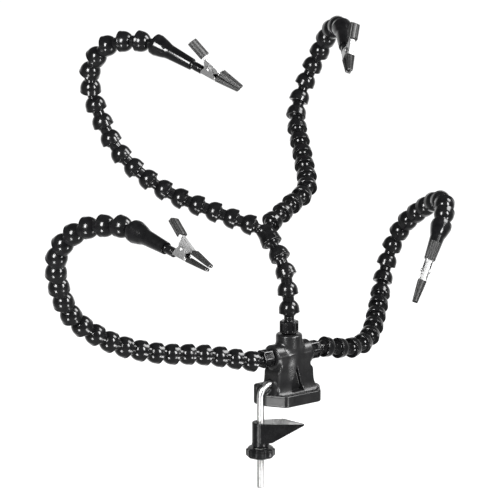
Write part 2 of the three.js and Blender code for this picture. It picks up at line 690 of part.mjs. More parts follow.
for (const arm of ARMS) {
  const guide = arm.guide.map(point);
  const linkCount = arm.stretches.reduce((sum, count) => sum + count);
  const centres = ballCentres([arm.start, ...guide], linkCount);
  let first = 0;
  arm.stretches.forEach((count, i) => {
    group.add(named(`${arm.name}_hose_${i + 1}`, hoseStretch(centres, first, count), HOSE));
    first += count;
  });
  group.add(clip(arm.name, centres[linkCount], guide.at(-1), point(arm.handleSide)));
}

export default group;
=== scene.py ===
"""The looks of the helping hands clamp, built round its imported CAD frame.

Shapes are worked out in millimetres in each piece's own frame, and placed in metres.
"""

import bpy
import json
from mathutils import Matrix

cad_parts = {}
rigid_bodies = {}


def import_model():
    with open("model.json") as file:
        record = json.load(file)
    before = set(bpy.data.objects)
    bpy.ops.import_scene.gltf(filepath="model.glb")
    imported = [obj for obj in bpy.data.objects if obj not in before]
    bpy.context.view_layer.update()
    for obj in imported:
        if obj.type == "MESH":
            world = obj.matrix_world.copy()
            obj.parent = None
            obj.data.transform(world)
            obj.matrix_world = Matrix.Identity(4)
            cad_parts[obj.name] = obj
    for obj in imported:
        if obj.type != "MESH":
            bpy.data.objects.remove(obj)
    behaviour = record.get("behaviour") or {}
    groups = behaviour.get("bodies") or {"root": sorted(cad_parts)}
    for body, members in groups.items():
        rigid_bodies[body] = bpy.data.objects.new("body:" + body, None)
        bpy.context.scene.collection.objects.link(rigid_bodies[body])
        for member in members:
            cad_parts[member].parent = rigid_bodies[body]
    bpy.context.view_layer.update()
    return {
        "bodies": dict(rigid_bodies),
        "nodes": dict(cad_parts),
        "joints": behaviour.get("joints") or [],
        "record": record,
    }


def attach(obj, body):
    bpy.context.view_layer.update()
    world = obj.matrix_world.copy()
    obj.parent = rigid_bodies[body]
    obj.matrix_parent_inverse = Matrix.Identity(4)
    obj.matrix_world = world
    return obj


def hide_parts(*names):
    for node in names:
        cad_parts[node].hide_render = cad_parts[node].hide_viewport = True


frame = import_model()

import json
import math

import bpy
import numpy as np
from mathutils import Matrix

MM = 0.001
X_AXIS, Y_AXIS, Z_AXIS = np.eye(3)
SEGMENTS = 44  # round a link
FINE = 0.5  # grid step of the moulded shapes
SHARP_ANGLE = math.radians(32)
CURVE_POINTS = 4001  # along each arm's route, far finer than a link

# ---------------- sizes, in millimetres, as in the CAD

PITCH = 16.4  # socket centre to ball centre
LINK_R = 9.35
SOCKET_R = 7.5
BALL_R = 7.25
BALL_CAP = 4.5  # the ball's flat end, past its centre
RIM_Z = -3.2
NECK_R = 5.2
FREE_NECK_R = 4.6  # the neck under a ball that turns in the next stretch's socket
BORE_R = 3.2
SHOULDER_R = 9.15  # a link's round outside, which the CAD has as a plain cone
SHOULDER_Z = 0.6

FOOT_X = 32.0
FOOT_Y = 22.0
FOOT_HEIGHT = 10.5
FOOT_WALL = 3.0
FOOT_ROOF = 9.0  # the hollow foot's inside height
PEDESTAL_TOP = 43.0
HUB_R = 11.8
HUB_TOP = 61.0
PORT_R = 11.0
PORT_X = 20.0
PORT_Z = 42.0
SPIGOT_R = 6.0
SPIGOT_LENGTH = 8.0
NUT_HEIGHT = 11.5
FITTING_BALL = 21.4
BRANCH_START = 8.0
BRANCH_LENGTH = 16.5
BRANCH_ANGLE = math.radians(47)
SPLITTER_AXIS = (0, 0.71, 0.71)

ROD_R = 3.2
ROD_X = -31.5
ROD_BEND = 11.0
ROD_PORT_Z = 18.0
ROD_END_X = -8.0
ROD_BOTTOM = -76.0
JAW_TOP = -15.0
JAW_HUB_R = 7.5
JAW_HUB_HEIGHT = 21.0
JAW_LENGTH = 38.5
JAW_DEPTH = 17.7
JAW_WING = (21.0, 11.0)
KNOB_R = 13.0
KNOB_HEIGHT = 8.5
KNOB_LOBES = 10
KNOB_SIDES = 100
INSERT_HEIGHT = 6.0
CHEEK_X = 33.0
CHEEK_Y = 8.8
CHEEK_HEIGHT = 18.8
JAW_HEADING = math.atan2(-0.6, 0.8)
WASHER_HEIGHT = 1.6
GAP = 0.3

NOZZLE_LENGTH = 38.0
PIVOT = (18.8, 6.0)  # the rivet, as (t, n) in the clip's frame
SHEET = 0.8

# ---------------- frames and routes

def unit(v):
    v = np.asarray(v, float)
    return v / np.linalg.norm(v)


def frame_at(origin, forward, side=None):
    """A frame whose z axis runs along `forward` and whose x axis leans towards `side`."""
    z = unit(forward)
    if side is None:
        side = Y_AXIS if abs(z[1]) < 0.9 else X_AXIS
    x = unit(np.asarray(side, float) - np.dot(side, z) * z)
    matrix = np.eye(4)
    matrix[:3, 0] = x
    matrix[:3, 1] = np.cross(z, x)
    matrix[:3, 2] = z
    matrix[:3, 3] = origin
    return matrix


def moved(matrix, points):
    return np.asarray(points, float) @ matrix[:3, :3].T + matrix[:3, 3]


def shift(x=0.0, y=0.0, z=0.0):
    matrix = np.eye(4)
    matrix[:3, 3] = (x, y, z)
    return matrix


def turn_z(angle):
    matrix = np.eye(4)
    matrix[:2, :2] = [[math.cos(angle), -math.sin(angle)], [math.sin(angle), math.cos(angle)]]
    return matrix


def curve_through(guide, count):
    """`count` points on a smooth curve through the guide points, evenly spaced in its own parameter."""
    points = np.asarray(guide, float)
    padded = np.array([2 * points[0] - points[1], *points, 2 * points[-1] - points[-2]])
    place = np.linspace(0, len(points) - 1, count)
    first = np.minimum(place.astype(int), len(points) - 2)
    s = (place - first)[:, None]
    p0, p1, p2, p3 = (padded[first + k] for k in range(4))
    slope1, slope2 = (p2 - p0) / 2, (p3 - p1) / 2
    return (
        p1
        + slope1 * s
        + (3 * (p2 - p1) - 2 * slope1 - slope2) * s**2
        + (2 * (p1 - p2) + slope1 + slope2) * s**3
    )


def ball_centres(guide, links):
    """Ball centres one pitch apart along a smooth curve through the guide points."""
    centres = [np.asarray(guide[0], float)]
    last = centres[0]
    for here in curve_through(guide, CURVE_POINTS)[1:]:
        reach = np.linalg.norm(here - centres[-1])
        if reach >= PITCH:
            back = (reach - PITCH) / np.linalg.norm(here - last)
            centres.append(here + (last - here) * back)
        last = here
        if len(centres) > links:
            break
    return centres


def link_frames(centres):
    return [frame_at(a, b - a) for a, b in zip(centres, centres[1:])]

# ---------------- shells: (points, faces) in millimetres

def arc(radius, start, end, steps, centre_z=0.0):
    """Points on an arc in the (radius, z) plane; angles in degrees from the -z axis."""
    angles = np.radians(np.linspace(start, end, steps + 1))
    return [(radius * math.sin(a), centre_z - radius * math.cos(a)) for a in angles]


def from_below(radius, z):
    return math.degrees(math.acos(-z / radius))


def softened(path, closed=True, steps=3):
    """The path with each (a, b, fillet) corner rounded; plain (a, b) points stay."""
    out = []
    count = len(path)
    for i, item in enumerate(path):
        here = np.array(item[:2], float)
        inner = closed or 0 < i < count - 1
        if len(item) == 2 or not inner:
            out.append(here)
            continue
        before = np.array(path[i - 1][:2], float)
        after = np.array(path[(i + 1) % count][:2], float)
        start = here + unit(before - here) * min(item[2], 0.49 * np.linalg.norm(before - here))
        end = here + unit(after - here) * min(item[2], 0.49 * np.linalg.norm(after - here))
        for s in np.linspace(0, 1, steps + 1):
            out.append((1 - s) ** 2 * start + 2 * s * (1 - s) * here + s**2 * end)
    return out


def grid_faces(rows, columns, wrap_rows=False, wrap_columns=True):
    """Quads over a grid of points listed row by row."""
    r = np.arange(rows if wrap_rows else rows - 1)
    c = np.arange(columns if wrap_columns else columns - 1)
    r, c = (a.ravel() for a in np.meshgrid(r, c, indexing="ij"))
    r2, c2 = (r + 1) % rows, (c + 1) % columns
    corners = [r * columns + c, r * columns + c2, r2 * columns + c2, r2 * columns + c]
    return np.stack(corners, 1).tolist()


def turned(path, segments=SEGMENTS, closed=True, flute=None):
    """A solid of revolution about z from (radius, z) points.

    flute(radius, angles) may shape the radius. An open path starts and ends on the axis.
    """
    path = [(max(r, 0.0), z) for r, z in path]
    rings = path if closed else path[1:-1]
    angles = np.linspace(0, 2 * math.pi, segments, endpoint=False)
    points = []
    for r, z in rings:
        radii = np.full(segments, r) if flute is None else flute(r, angles)
        points.append(np.stack([radii * np.cos(angles), radii * np.sin(angles), np.full(segments, z)], 1))
    points = np.concatenate(points)
    faces = grid_faces(len(rings), segments, wrap_rows=closed)
    if not closed:
        first, last = len(points), len(points) + 1
        points = np.concatenate([points, [(0, 0, path[0][1]), (0, 0, path[-1][1])]])
        top = (len(rings) - 1) * segments
        for i in range(segments):
            after = (i + 1) % segments
            faces.append([first, after, i])
            faces.append([last, top + i, top + after])
    return points, faces


def swept(path, sections):
    """A solid through `path` whose cross-section at each point is an array of (across, up) offsets."""
    path = np.asarray(path, float)
    tangents = np.gradient(path, axis=0)
    tangents /= np.linalg.norm(tangents, axis=1)[:, None]
    side = unit(np.cross(tangents[0], X_AXIS if abs(tangents[0][0]) < 0.9 else Y_AXIS))
    points = []
    for centre, tangent, section in zip(path, tangents, sections):
        side = unit(side - np.dot(side, tangent) * tangent)
        up = np.cross(tangent, side)
        points.append(centre + np.outer(section[:, 0], side) + np.outer(section[:, 1], up))
    columns = len(sections[0])
    faces = grid_faces(len(path), columns)
    faces.append(list(range(columns))[::-1])
    faces.append([(len(path) - 1) * columns + i for i in range(columns)])
    return np.concatenate(points), faces


def wire(path, radius=0.32, sides=12):
    """A round wire along the path."""
    angles = np.linspace(0, 2 * math.pi, sides, endpoint=False)
    section = np.stack([radius * np.cos(angles), radius * np.sin(angles)], 1)
    return swept(path, [section] * len(path))

# ---------------- moulded shapes from distance fields

DRAWS = 4  # times that a surface's points are drawn on to it
LEAST_STEEPNESS = 0.2
FREEDOM = 0.7  # of a cell, that a point may move


def union(a, b, blend=0.0):
    """Two fields joined, with a fillet about `blend` wide where they meet."""
    if blend <= 0:
        return np.minimum(a, b)
    h = np.maximum(blend - np.abs(a - b), 0) / blend
    return np.minimum(a, b) - h**2 * blend / 4


def common(a, b, blend=0.0):
    return -union(-a, -b, blend)


def cut(a, b, blend=0.0):
    return common(a, -b, blend)


def slab(value, low, high):
    """Distance outside the range from low to high."""
    return np.maximum(low - value, value - high)


def half_plane(a, b, through, normal):
    """Distance past a line in a plane, along the normal."""
    normal = unit(normal)
    return (a - through[0]) * normal[0] + (b - through[1]) * normal[1]


def hexagon(a, b, across_flats):
    """A hexagon with two of its flats across the b axis."""
    reach = np.maximum(np.abs(b), np.abs(a) * math.sqrt(3) / 2 + np.abs(b) / 2)
    return reach - across_flats / 2


def gradient(field, points, reach=0.02):
    slopes = [field(points + axis * reach) - field(points - axis * reach) for axis in np.eye(3)]
    return np.stack(slopes, 1) / (2 * reach)


def surface(field, low, high, step=FINE):
    """The closed surface in a box where the field is zero.

    Each grid cell that the surface crosses gets one point, at the mean of its crossed edges. The points
    are then drawn on to the surface, but stay near their cells, so that thin edges don't fold over.
    """
    axes = [np.arange(a, b + step, step) for a, b in zip(low, high)]
    shape = tuple(len(a) for a in axes)
    nodes = np.stack(np.meshgrid(*axes, indexing="ij"), -1)
    value = field(nodes.reshape(-1, 3)).reshape(shape)
    cells = tuple(n - 1 for n in shape)
    total = np.zeros(cells + (3,))
    crossings = np.zeros(cells)
    links = []
    for axis in range(3):
        others = [k for k in range(3) if k != axis]
        ahead = [slice(None)] * 3
        ahead[axis] = slice(1, None)
        behind = [slice(None)] * 3
        behind[axis] = slice(None, -1)
        a, b = value[tuple(behind)], value[tuple(ahead)]
        where = np.argwhere((a < 0) != (b < 0))
        inner = np.all([(where[:, k] > 0) & (where[:, k] < shape[k] - 1) for k in others], axis=0)
        where = where[inner]
        start = a[tuple(where.T)]
        end = b[tuple(where.T)]
        place = nodes[tuple(where.T)].copy()
        place[:, axis] += step * start / (start - end)
        around = []
        for du, dv in ((-1, -1), (0, -1), (0, 0), (-1, 0)):
            cell = where.copy()
            cell[:, others[0]] += du
            cell[:, others[1]] += dv
            np.add.at(total, tuple(cell.T), place)
            np.add.at(crossings, tuple(cell.T), 1)
            around.append(cell)
        flip = (start < 0) == (axis == 1)
        links.append((around, flip))
    used = crossings > 0
    number = np.full(cells, -1)
    number[used] = np.arange(used.sum())
    first = total[used] / crossings[used][:, None]
    points = first.copy()
    for _ in range(DRAWS):
        slope = gradient(field, points)
        steepness = np.maximum((slope**2).sum(1), LEAST_STEEPNESS)
        points -= np.clip(field(points) / steepness, -step, step)[:, None] * slope
        points = first + np.clip(points - first, -FREEDOM * step, FREEDOM * step)
    faces = []
    for around, flip in links:
        quads = np.stack([number[tuple(cell.T)] for cell in around], 1)
        quads[flip] = quads[flip][:, ::-1]
        faces += quads.tolist()
    return points, faces

# ---------------- materials

def map_range(tree, value, start, end, low, high, interpolation="LINEAR"):
    """`value` from start to end spread over low to high."""
    node = tree.nodes.new("ShaderNodeMapRange")
    node.interpolation_type = interpolation
    tree.links.new(value, node.inputs["Value"])
    ends = {"From Min": start, "From Max": end, "To Min": low, "To Max": high}
    for name, number in ends.items():
        node.inputs[name].default_value = number
    return node.outputs["Result"]


class Nodes:
    """A material's node tree, with a short call for each kind of node."""

    def __init__(self, name, colour, roughness, metallic=0.0, specular=0.5):
        self.material = bpy.data.materials.new(name)
        self.material.use_nodes = True
        self.tree = self.material.node_tree
        self.shader = self.tree.nodes["Principled BSDF"]
        self.shader.inputs["Base Color"].default_value = (*colour, 1)
        self.shader.inputs["Roughness"].default_value = roughness
        self.shader.inputs["Metallic"].default_value = metallic
        self.shader.inputs["Specular IOR Level"].default_value = specular
        local = self.tree.nodes.new("ShaderNodeAttribute")
        local.attribute_name = "local_mm"
        self.place = local.outputs["Vector"]

    def link(self, output, node, socket):
        self.tree.links.new(output, node.inputs[socket])

    def stretched(self, scale):
        """The piece's own place with each axis scaled, for grain that runs one way."""
        node = self.tree.nodes.new("ShaderNodeVectorMath")
        node.operation = "MULTIPLY"
        self.link(self.place, node, 0)
        node.inputs[1].default_value = scale
        return node.outputs["Vector"]

    def noise(self, size, detail=3.0, roughness=0.55, place=None):
        """Noise whose features are about `size` millimetres across."""
        node = self.tree.nodes.new("ShaderNodeTexNoise")
        self.link(place or self.place, node, "Vector")
        node.inputs["Scale"].default_value = 1 / size
        node.inputs["Detail"].default_value = detail
        node.inputs["Roughness"].default_value = roughness
        return node.outputs["Fac"]

    def cells(self, size):
        node = self.tree.nodes.new("ShaderNodeTexVoronoi")
        self.link(self.place, node, "Vector")
        node.inputs["Scale"].default_value = 1 / size
        return node.outputs["Distance"]

    def colour(self, value, low, high, start=0.3, end=0.7):
        """The colour goes from low to high while `value` goes from start to end."""
        node = self.tree.nodes.new("ShaderNodeMix")
        node.data_type = "RGBA"
        self.link(map_range(self.tree, value, start, end, 0, 1), node, "Factor")
        colours = [socket for socket in node.inputs if socket.type == "RGBA"]
        colours[0].default_value = (*low, 1)
        colours[1].default_value = (*high, 1)
        result = next(socket for socket in node.outputs if socket.type == "RGBA")
        self.link(result, self.shader, "Base Color")

    def roughness(self, value, low, high):
        """The roughness goes from low to high with the middle of the noise's range."""
        self.link(map_range(self.tree, value, 0.3, 0.7, low, high), self.shader, "Roughness")

    def bumps(self, *layers):
        """Bump layers of (height output, depth in millimetres)."""
        below = None
        for height, depth in layers:
            node = self.tree.nodes.new("ShaderNodeBump")
            node.inputs["Distance"].default_value = depth * MM
            self.link(height, node, "Height")
            if below:
                self.link(below, node, "Normal")
            below = node.outputs["Normal"]
        self.link(below, self.shader, "Normal")


def hose_plastic():
    """Polished black acetal: deep black, with faint flow marks and handling smudges in its gloss."""
    look = Nodes("hose_plastic", (0.003, 0.003, 0.0035), 0.17, specular=0.22)
    look.colour(look.noise(6.0), (0.0015, 0.0015, 0.0017), (0.0035, 0.0035, 0.0037))
    look.roughness(look.noise(3.5, detail=5), 0.11, 0.24)
    look.bumps((look.noise(4.0, detail=1), 0.05), (look.noise(0.35), 0.003))
    return look.material


def base_plastic():
    """Spark-eroded satin nylon: charcoal, with a fine even grain and a cloudy sheen."""
    look = Nodes("base_plastic", (0.004, 0.004, 0.0042), 0.27, specular=0.22)
    look.colour(look.noise(14.0, detail=4), (0.003, 0.003, 0.0032), (0.0055, 0.0055, 0.0057))
    look.roughness(look.noise(7.0, detail=4), 0.26, 0.33)
    look.bumps((look.noise(9.0, detail=1), 0.06), (look.noise(0.5, detail=2), 0.004))
    return look.material


def jaw_plastic():
    """Black nylon, a little glossier than the base, with rubbed patches."""
    look = Nodes("jaw_plastic", (0.0025, 0.0025, 0.0027), 0.25, specular=0.14)
    worn = look.noise(8.0, detail=5, roughness=0.65)
    look.colour(worn, (0.0018, 0.0018, 0.002), (0.0035, 0.0035, 0.0037))
    look.roughness(worn, 0.2, 0.34)
    look.bumps((look.noise(0.45, detail=2), 0.004))
    return look.material


def zinc_steel():
    """Bright zinc plating: mirror-like, with a faint spangle and drawing lines along the rod."""
    look = Nodes("zinc_steel", (0.4, 0.4, 0.4), 0.34, metallic=1.0)
    look.colour(look.cells(2.2), (0.4, 0.4, 0.4), (0.44, 0.44, 0.438), start=0, end=1)
    look.roughness(look.noise(1.6, detail=4), 0.3, 0.38)
    lines = look.noise(1.0, detail=2, place=look.stretched((5.0, 5.0, 0.12)))
    look.bumps((lines, 0.002))
    return look.material


def clip_steel():
    """Nickel-plated sheet: bright satin, with rolling lines along the clip and dull handling patches."""
    look = Nodes("clip_steel", (0.3, 0.3, 0.3), 0.4, metallic=1.0)
    lines = look.noise(1.0, detail=3, place=look.stretched((0.15, 4.0, 4.0)))
    patches = look.noise(3.0, detail=4)
    look.colour(patches, (0.27, 0.27, 0.27), (0.31, 0.31, 0.31))
    look.roughness(lines, 0.38, 0.48)
    look.bumps((lines, 0.002), (patches, 0.006))
    return look.material


def sleeve_rubber():
    """Soft black vinyl: matt, with a fine pebbled skin and dusty patches."""
    look = Nodes("sleeve_rubber", (0.004, 0.004, 0.004), 0.4, specular=0.32)
    dust = look.noise(2.5, detail=5, roughness=0.65)
    look.colour(dust, (0.0025, 0.0025, 0.0025), (0.006, 0.006, 0.0059))
    look.roughness(dust, 0.36, 0.52)
    look.bumps((look.cells(0.4), 0.012), (look.noise(0.9), 0.03))
    return look.material


MATERIALS = {
    make.__name__: make()
    for make in (hose_plastic, base_plastic, jaw_plastic, zinc_steel, clip_steel, sleeve_rubber)
}

# ---------------- pieces

def added(name, data):
    """A new object in the scene."""
    made = bpy.data.objects.new(name, data)
    bpy.context.scene.collection.objects.link(made)
    return made


def piece(name, shells, slot, body, *nodes):
    """One Blender object from (matrix, (points, faces)) shells; it stands for the CAD nodes.

    Its materials read each point's place in its own shell, set apart from the other shells' places.
    """
    world, local, faces = [], [], []
    count = 0
    for number, (matrix, (points, shell_faces)) in enumerate(shells):
        world.append(moved(matrix, points) * MM)
        local.append(np.asarray(points) + number * 2 * PITCH)
        faces += [[count + i for i in face] for face in shell_faces]
        count += len(points)
    mesh = bpy.data.meshes.new(name)
    mesh.from_pydata(np.concatenate(world).tolist(), [], faces)
    mesh.validate()
    place = mesh.attributes.new("local_mm", "FLOAT_VECTOR", "POINT")
    place.data.foreach_set("vector", np.concatenate(local).astype(np.float32).ravel())
    mesh.shade_smooth()
    mesh.set_sharp_from_angle(angle=SHARP_ANGLE)
    mesh.materials.append(MATERIALS[slot])
    made = added(name, mesh)
    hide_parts(*nodes)
    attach(made, body)

# ---------------- hose links

def neck_angle(radius, neck_r):
    """How far from its pole a neck meets a ball of this radius, in degrees."""
    return math.degrees(math.asin(neck_r / radius))


def ball_end(neck_r, centre_z):
    """The ball on its neck, round to its flat end and into the bore."""
    flat_end = from_below(BALL_R, BALL_CAP)
    return [
        *arc(BALL_R, neck_angle(BALL_R, neck_r), flat_end, 13, centre_z),
        (BORE_R, centre_z + BALL_CAP, 0.4),
    ]


def socket():
    """The inside of a cup, from where the bore enters it down to the rim."""
    top = from_below(SOCKET_R, math.sqrt(SOCKET_R**2 - BORE_R**2))
    return arc(SOCKET_R, top, from_below(SOCKET_R, RIM_Z), 9)


def rim():
    """The cup's open edge: a flat end and a small bevel up to the widest edge."""
    return [(LINK_R - 0.7, RIM_Z, 0.15), (LINK_R, RIM_Z + 0.6, 0.2)]


def skirt():
    """The outside of a link from its sharp edge, curving in to the widest part of its shoulder."""
    start_z = RIM_Z + 1
    return [
        (SHOULDER_R + (LINK_R - SHOULDER_R) * (1 - s) ** 2, start_z + (SHOULDER_Z - start_z) * s)
        for s in np.linspace(0, 1, 5, endpoint=False)
    ]


def shoulder(neck_r):
    """The ball-shaped outside of a link, from its widest part up to its neck."""
    return arc(SHOULDER_R, 90, 180 - neck_angle(SHOULDER_R, neck_r), 8, SHOULDER_Z)


def link_shell(neck_r):
    path = [
        *rim(),
        *skirt(),
        *shoulder(neck_r),
        *ball_end(neck_r, PITCH),
        *socket(),
    ]
    return turned(softened(path))


LINK = link_shell(NECK_R)
END_LINK = link_shell(FREE_NECK_R)


def hose(name, centres, first, count, body, node):
    """A stretch of links that move as one; its last ball is the next stretch's joint."""
    frames = link_frames(centres[first : first + count + 1])
    parts = [(frame, LINK) for frame in frames[:-1]] + [(frames[-1], END_LINK)]
    piece(name, parts, "hose_plastic", body, node)

# ---------------- base

FOOT_CORNER = (13.0, 18.5)  # what each slanted edge takes off the foot's outline, in x and y
PEDESTAL_X, PEDESTAL_Y = 20.0, 10.7  # half sizes above the flare
FLARE_X, FLARE_Y, FLARE_Z = 7.0, 7.3, 8.0
STEP_Z = 30.5  # where the pedestal draws in below the ports
POCKET_HALF, POCKET_BOTTOM, POCKET_RISE = 6.8, 11.0, 22.0  # the triangle in the front and back
POCKET_FLOOR = 8.2
BOSS_R, BOSS_LENGTH = 8.0, 16.0
CHEEK_END = 16.0
CHEEK_NEAR_Y = 2.0
ROD_PLAY = 0.5


def foot(x, y, inset=0.0):
    """The octagonal foot's outline, drawn in by `inset`."""
    corner_x, corner_y = FOOT_CORNER
    slanted = half_plane(np.abs(x), np.abs(y), (FOOT_X, FOOT_Y - corner_y), (corner_y, corner_x))
    sides = common(np.abs(x) - FOOT_X + inset, np.abs(y) - FOOT_Y + inset, 1.2)
    return common(sides, slanted + inset, 2.4)


def rod_distance(x, y, z):
    """Distance to the rod's centreline: up, round its bend and into the base."""
    bend_x, bend_z = ROD_X + ROD_BEND, ROD_PORT_Z - ROD_BEND
    upright = np.hypot(x - ROD_X, np.maximum(z - bend_z, 0))
    level = np.hypot(z - ROD_PORT_Z, np.maximum(bend_x - x, 0))
    angle = np.clip(np.arctan2(z - bend_z, bend_x - x), 0, math.pi / 2)
    bend = np.hypot(x - bend_x + ROD_BEND * np.cos(angle), z - bend_z - ROD_BEND * np.sin(angle))
    return np.hypot(np.minimum(np.minimum(upright, level), bend), y)


def plate_field(x, y, z):
    """The foot: a plate, hollow from below."""
    plate = common(foot(x, y), slab(z, 0, FOOT_HEIGHT), 1.6)
    return cut(plate, common(foot(x, y, FOOT_WALL), FOOT_ROOF - z, 0.8), 0.9)


def pedestal_field(x, y, z):
    """The four-sided body: flared where it stands on the foot, drawn in below the ports."""
    flare = np.exp(-np.maximum(z - FLARE_Z, 0) / 4)
    step_in = 1.5 * (1 + np.tanh((z - STEP_Z) / 1.6))
    front = np.abs(x) - (PEDESTAL_X + FLARE_X * flare - step_in)
    side = np.abs(y) - (PEDESTAL_Y + FLARE_Y * flare)
    pedestal = common(common(front, side, 2.4), slab(z, 7.5, PEDESTAL_TOP), 1.0)
    return common(pedestal, foot(x, y, 1.6), 0.8)


def cheek_field(x, y, z):
    """The lug at the foot's end, beside and behind the rod."""
    plan = common(slab(x, -CHEEK_X, -CHEEK_END), slab(y, -CHEEK_NEAR_Y, CHEEK_Y), 1.5)
    return common(plan, slab(z, 0, CHEEK_HEIGHT), 2.4)


def pocket_field(x, y, z):
    """The shallow triangle sunk into the pedestal's front and back."""
    sloping_side = (POCKET_RISE, POCKET_HALF)
    slope = half_plane(np.abs(x), z, (POCKET_HALF, POCKET_BOTTOM), sloping_side)
    return common(common(slope, POCKET_BOTTOM - z, 0.5), POCKET_FLOOR - np.abs(y), 0.5)


def base_field(points):
    x, y, z = points.T
    hub = common(np.hypot(x, y) - HUB_R, slab(z, 22, HUB_TOP), 2.6)
    ports = common(np.hypot(y, z - PORT_Z) - PORT_R, np.abs(x) - PORT_X, 1.4)
    boss = common(np.hypot(x, z - PORT_Z) - BOSS_R, slab(y, 0, BOSS_LENGTH), 2.0)
    body = union(pedestal_field(x, y, z), ports, 2.5)
    body = union(union(body, hub, 3.0), boss, 2.5)
    body = union(union(plate_field(x, y, z), body, 1.6), cheek_field(x, y, z), 1.2)
    body = cut(body, pocket_field(x, y, z), 0.7)
    body = cut(body, rod_distance(x, y, z) - ROD_R - ROD_PLAY, 0.8)
    behind_rod = common(np.abs(y) - ROD_R - 0.6, x - ROD_X, 0.5)
    notch = common(behind_rod, slab(z, -2, CHEEK_HEIGHT + 2), 0.5)
    body = cut(body, notch, 0.8)
    hole_r, hole_depth = SPIGOT_R + 0.5, SPIGOT_LENGTH + GAP
    holes = union(
        common(np.hypot(x, y) - hole_r, HUB_TOP - hole_depth - z),
        common(np.hypot(y, z - PORT_Z) - hole_r, PORT_X - hole_depth - np.abs(x)),
    )
    return cut(body, holes, 0.7)


def base():
    shell = surface(base_field, (-34.5, -23.5, -1.5), (33.5, 23.5, 62.5))
    piece("base_moulding", [(np.eye(4), shell)], "base_plastic", "base", "base_body")

# ---------------- port fittings

PORTS = {
    "top": frame_at((0, 0, HUB_TOP), Z_AXIS),
    "left": frame_at((-PORT_X, 0, PORT_Z), -X_AXIS),
    "right": frame_at((PORT_X, 0, PORT_Z), X_AXIS),
}
NUT_FLATS = 15.1
NUT_CORNER_R = 8.5
NUT_CHAMFER = 0.6  # how steeply the corners are turned off above and below


def nut_field(x, y, z):
    """A hexagon nut with its corners turned off and a pocket in each flat."""
    radius = np.hypot(x, y)
    hexagonal = common(hexagon(x, y, NUT_FLATS), slab(z, 0.8, NUT_HEIGHT), 0.9)
    past_middle = np.maximum(np.abs(z - 6.1) - 4.6, 0)
    nut = common(hexagonal, radius - NUT_CORNER_R + NUT_CHAMFER * past_middle, 0.5)
    from_flat = np.mod(np.arctan2(y, x), math.pi / 3) - math.pi / 6
    out, along = radius * np.cos(from_flat), radius * np.sin(from_flat)
    pocket = common(common(np.abs(along) - 2.7, np.abs(z - 6.2) - 3.5, 0.8), 6.3 - out, 0.4)
    return cut(nut, pocket, 0.5)


def fitting_field(points):
    """Spigot, nut, neck, and a ball with a flat end and a bore."""
    x, y, z = points.T
    radius = np.hypot(x, y)
    spigot = common(radius - SPIGOT_R, slab(z, -SPIGOT_LENGTH, 1.5), 0.8)
    neck = common(radius - FREE_NECK_R, slab(z, 8, FITTING_BALL))
    ball = np.sqrt(x**2 + y**2 + (z - FITTING_BALL) ** 2) - BALL_R
    ball = common(ball, z - FITTING_BALL - BALL_CAP, 0.6)
    body = union(union(union(spigot, nut_field(x, y, z), 0.6), neck, 1.2), ball, 0.4)
    return cut(body, radius - BORE_R, 0.6)


def fittings():
    shell = surface(fitting_field, (-9.5, -9.5, -9), (9.5, 9.5, FITTING_BALL + 6), FINE * 0.7)
    for name, place in PORTS.items():
        node = f"{name}_port_fitting"
        piece(f"{name}_fitting", [(place, shell)], "hose_plastic", "base", node)

# ---------------- splitter

CUP_HEIGHTS = (RIM_Z, -2.4, 3.0, 7.0, 11.0, 16.0)
CUP_RADII = (9.0, 9.6, 9.1, 8.3, 7.2, 5.0)
CUP_TOP = 13.5
BRANCH_R = 7.4
BRANCH_TAPER = 0.28
BRANCH_SHOULDER = 7.6


def branch_direction(way):
    return np.array([way * math.sin(BRANCH_ANGLE), 0, math.cos(BRANCH_ANGLE)])


def branch_ball(way):
    return branch_direction(way) * BRANCH_LENGTH + Z_AXIS * BRANCH_START


def branch_field(x, y, z, way):
    """One tapered arm of the Y with a ball at its end and a bore."""
    direction = branch_direction(way)
    along = x * direction[0] + (z - BRANCH_START) * direction[2]
    across = np.hypot(x * direction[2] - (z - BRANCH_START) * direction[0], y)
    cone = (across - BRANCH_R + BRANCH_TAPER * np.maximum(along, 0)) * 0.96
    neck = common(across - FREE_NECK_R, slab(along, 0, BRANCH_LENGTH))
    ball = np.hypot(across, along - BRANCH_LENGTH) - BALL_R
    ball = common(ball, along - BRANCH_LENGTH - BALL_CAP, 0.6)
    branch = union(union(common(cone, slab(along, 0, BRANCH_SHOULDER), 0.9), neck, 1.2), ball, 0.4)
    return cut(branch, common(across - BORE_R, 2 - along), 0.5)


def splitter_field(points):
    """A cup over the stem's last ball, with a branch to each side; the cup's inside is cut last."""
    x, y, z = points.T
    cup_r = np.interp(z, CUP_HEIGHTS, CUP_RADII)
    body = common((np.hypot(x, y) - cup_r) * 0.95, slab(z, RIM_Z, CUP_TOP), 1.0)
    for way in (-1, 1):
        body = union(body, branch_field(x, y, z, way), 2.5)
    inside = np.sqrt(x**2 + y**2 + z**2) - SOCKET_R
    return cut(body, inside, 0.5)


def splitter(place):
    shell = surface(splitter_field, (-26, -11, -4.5), (26, 11, 28), FINE * 0.8)
    piece("splitter", [(place, shell)], "hose_plastic", "splitter", "y_splitter")

# ---------------- clamp

THREAD_PITCH = 1.27
THREAD_DEPTH = 0.62
THREAD_TOP = -20.0
ROD_SIDES = 40
ROD_POINT = 0.72  # the lower end's radius, as a share of the rod's
ROD_POINT_LENGTH = 1.2


